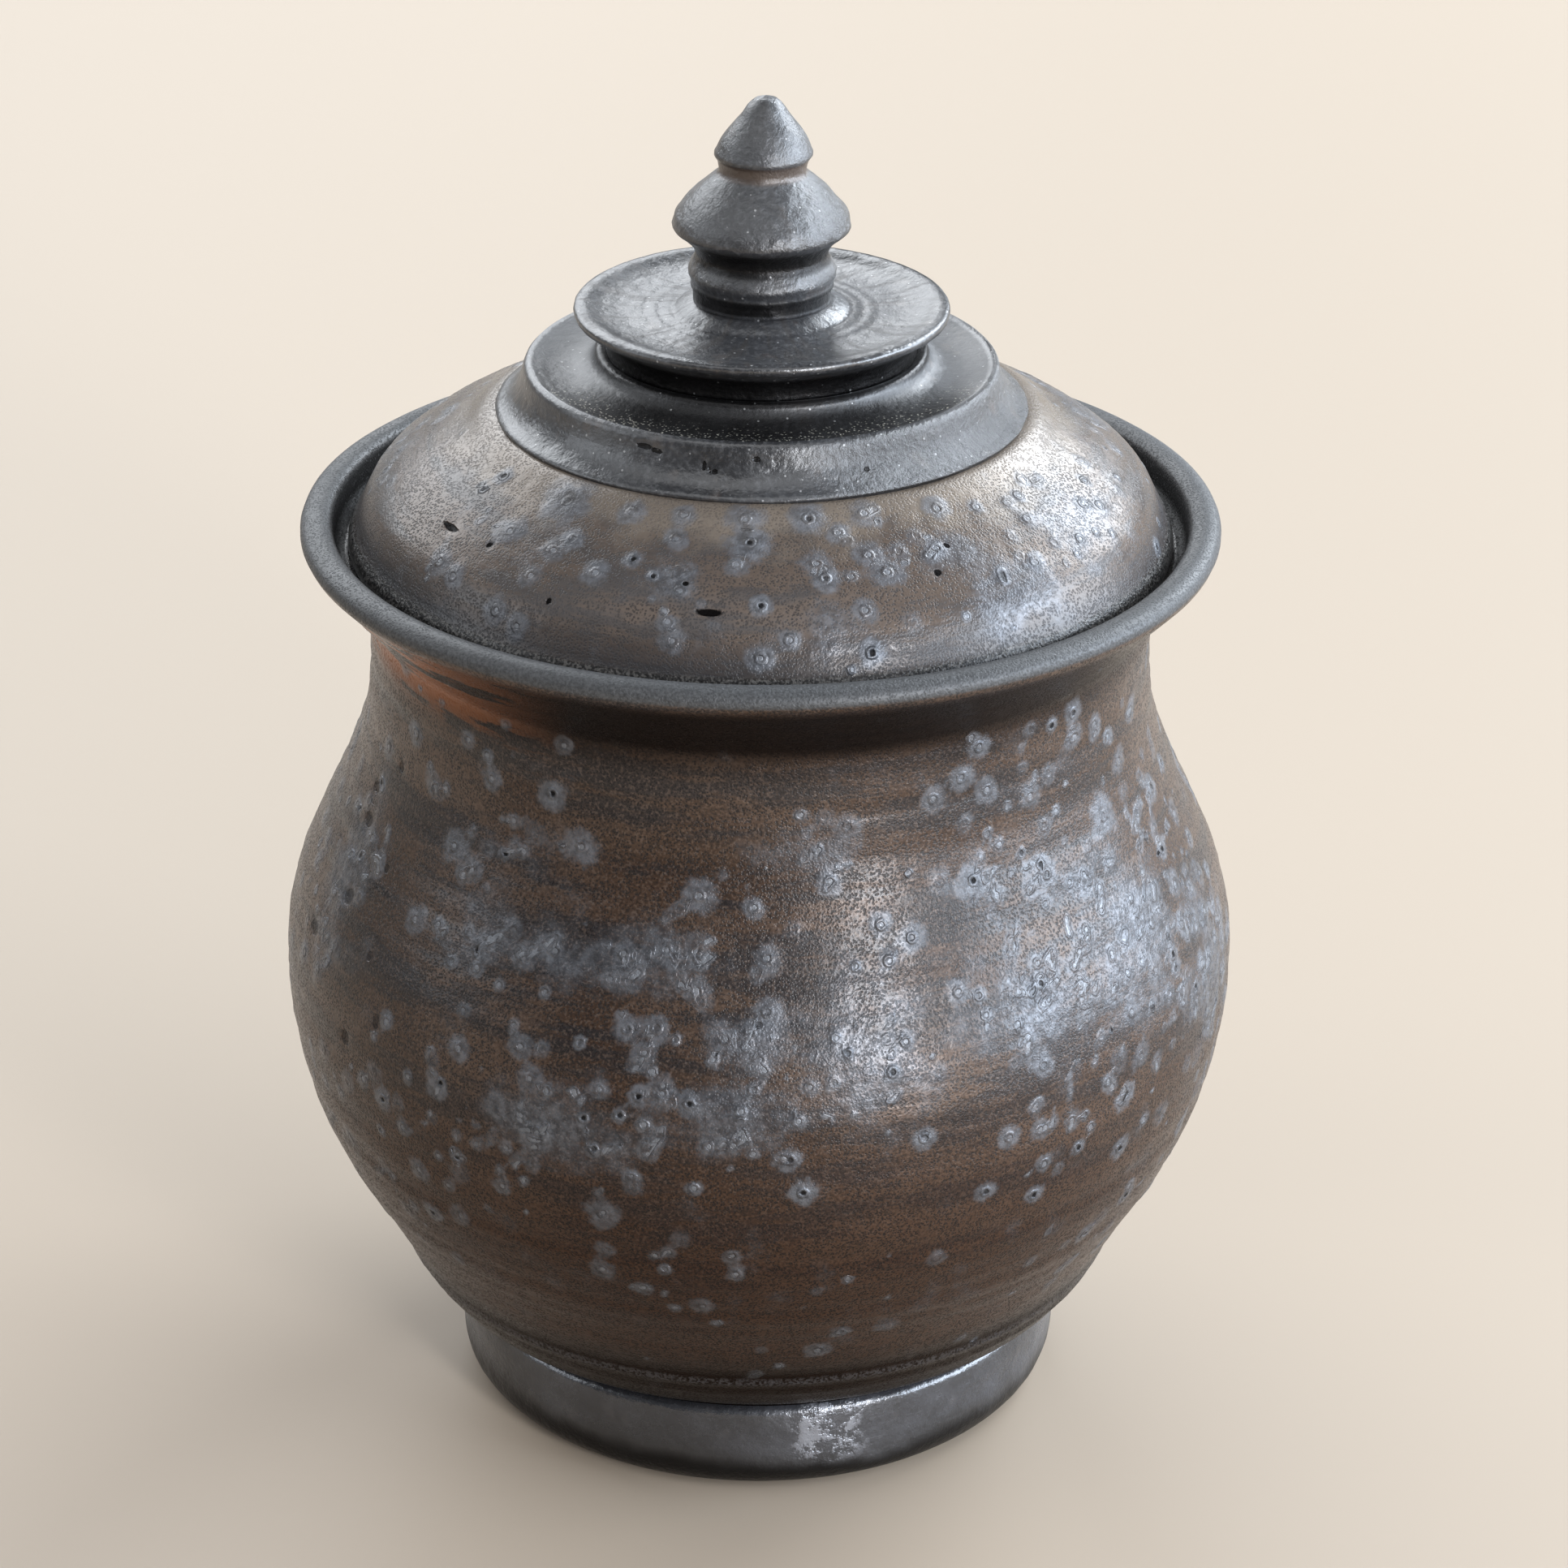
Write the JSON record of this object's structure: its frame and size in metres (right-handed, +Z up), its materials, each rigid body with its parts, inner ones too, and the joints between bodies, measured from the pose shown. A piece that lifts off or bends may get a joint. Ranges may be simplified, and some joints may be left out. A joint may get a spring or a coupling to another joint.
{
  "type": "lidded sugar jar",
  "caption": "Wheel-thrown stoneware sugar jar: round-bellied footed bowl with a flared rim and a lift-off domed lid with a stepped knob.",
  "frame": {"origin": "centre of the foot's resting face, on the jar's turning axis", "axes": "+Z up along the turning axis; the jar is round, so +X and +Y are any two level directions at right angles"},
  "size_m": [0.128, 0.128, 0.1821],
  "materials": {
    "brown_glaze": "satin umber-brown glaze with dark speckle and blue-grey blisters",
    "gunmetal_glaze": "semi-gloss charcoal glaze with a metallic sheen"
  },
  "bodies": {
    "jar": {"bowl_body": "brown_glaze", "foot_ring": "gunmetal_glaze"},
    "lid": {"lid_dome": "brown_glaze", "lid_collar": "gunmetal_glaze", "knob_saucer": "gunmetal_glaze", "knob_finial": "gunmetal_glaze"}
  },
  "joints": [
    {"name": "lid_lift", "type": "slide", "parent": "jar", "child": "lid", "axis": [0, 0, 1], "range_m": [0, 0.12]}
  ]
}
